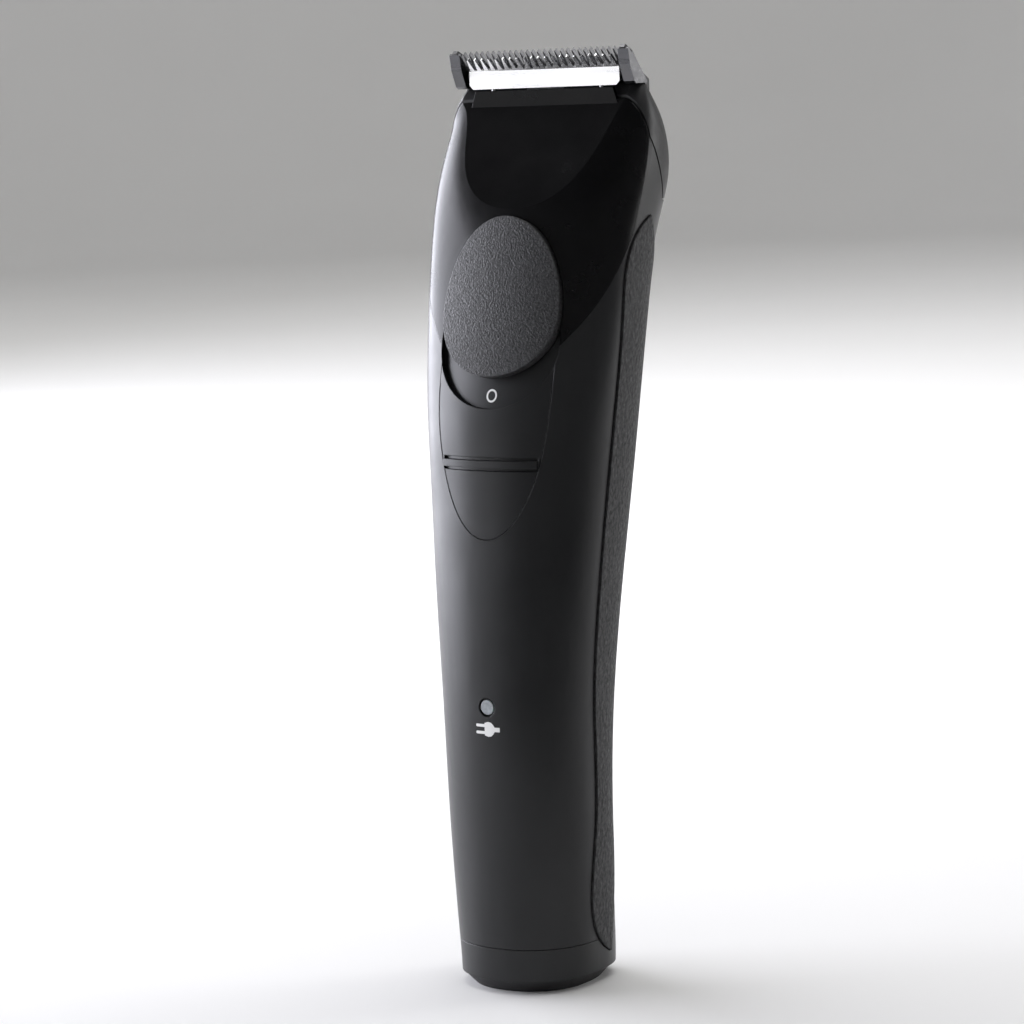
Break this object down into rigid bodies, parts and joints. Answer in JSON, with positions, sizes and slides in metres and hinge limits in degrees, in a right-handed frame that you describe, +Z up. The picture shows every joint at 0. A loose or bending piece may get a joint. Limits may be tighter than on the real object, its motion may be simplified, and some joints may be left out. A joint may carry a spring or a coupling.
{
  "type": "hair clipper",
  "caption": "Cordless hair clipper with a narrow T-shaped blade block, thumb slide switch, side grips and a charging socket in the base.",
  "frame": {"origin": "middle of the foot's underside, which the clipper stands on", "axes": "+Z up towards the blades, -Y towards the switch side, +X to the right seen from the switch side"},
  "size_m": [0.0417, 0.0412, 0.1585],
  "materials": {
    "body_satin": "satin",
    "cover_gloss": "high gloss",
    "grip_rubber": "leather-like grain",
    "pad_plastic": "fine sandy grain",
    "panel_satin": "satin",
    "lens": "frosted",
    "black_plastic": "fine",
    "foot_rubber": "matt",
    "seal_rubber": "matt",
    "steel": "brushed",
    "blade_steel": "ground and polished",
    "comb_steel": "dark ground",
    "nylon": "natural nylon",
    "board_green": "solder mask",
    "cell_wrap": "shrink wrap",
    "copper": "bare",
    "magnet": "sintered",
    "lead_red": "insulation"
  },
  "bodies": {
    "handle": {"upper_cover": "cover_gloss", "front_housing": "body_satin", "rear_housing": "body_satin", "grip_right": "grip_rubber", "grip_left": "grip_rubber", "switch_panel": "panel_satin", "switch_board": "board_green", "switch_leaf": "copper", "charge_lamp_lens": "lens", "charge_lamp_chip": "nylon", "base_cap": "body_satin", "base_seal": "seal_rubber", "foot": "foot_rubber", "inlet_body": "black_plastic", "inlet_contacts": "copper", "battery_cell": "cell_wrap", "battery_holder": "black_plastic", "battery_tabs": "steel", "circuit_board": "board_green", "base_screws": "steel", "motor_can": "steel", "motor_magnets": "magnet", "motor_screws": "steel", "motor_leads": "lead_red", "motor_end_cap": "black_plastic", "lever_pivot_pin": "steel", "drive_frame": "black_plastic"},
    "switch": {"switch_pad": "pad_plastic", "switch_slider": "nylon"},
    "motor_rotor": {"motor_shaft": "steel", "motor_armature": "magnet", "drive_cam": "nylon"},
    "rocker": {"drive_lever": "nylon"},
    "blade_block": {"blade_frame": "black_plastic", "fixed_blade": "comb_steel", "blade_screws": "steel", "blade_springs": "steel"},
    "cutter": {"moving_blade": "blade_steel", "blade_yoke": "black_plastic"}
  },
  "joints": [
    {"name": "switch_slide", "type": "slide", "parent": "handle", "child": "switch", "axis": [0, 0.269, 0.9631], "range_m": [-0.005, 0]},
    {"name": "rotor_spin", "type": "hinge", "parent": "handle", "child": "motor_rotor", "pos_m": [0, 0.0055, 0.1], "axis": [0, 0, 1], "continuous": true},
    {"name": "lever_rock", "type": "hinge", "parent": "handle", "child": "rocker", "pos_m": [0, 0.00818, 0.118], "axis": [0, 1, 0], "range_deg": [-1.3, 1.3]},
    {"name": "blade_block_hinge", "type": "hinge", "parent": "handle", "child": "blade_block", "pos_m": [0, 0.0273, 0.13205], "axis": [-1, 0, 0], "range_deg": [0, 50]},
    {"name": "cutter_slide", "type": "slide", "parent": "blade_block", "child": "cutter", "axis": [1, 0, 0], "range_m": [-0.0007, 0.0007]}
  ],
  "couplings": [
    {"joint": "cutter_slide", "follows": "lever_rock", "m_per_rad": 0.0296}
  ]
}
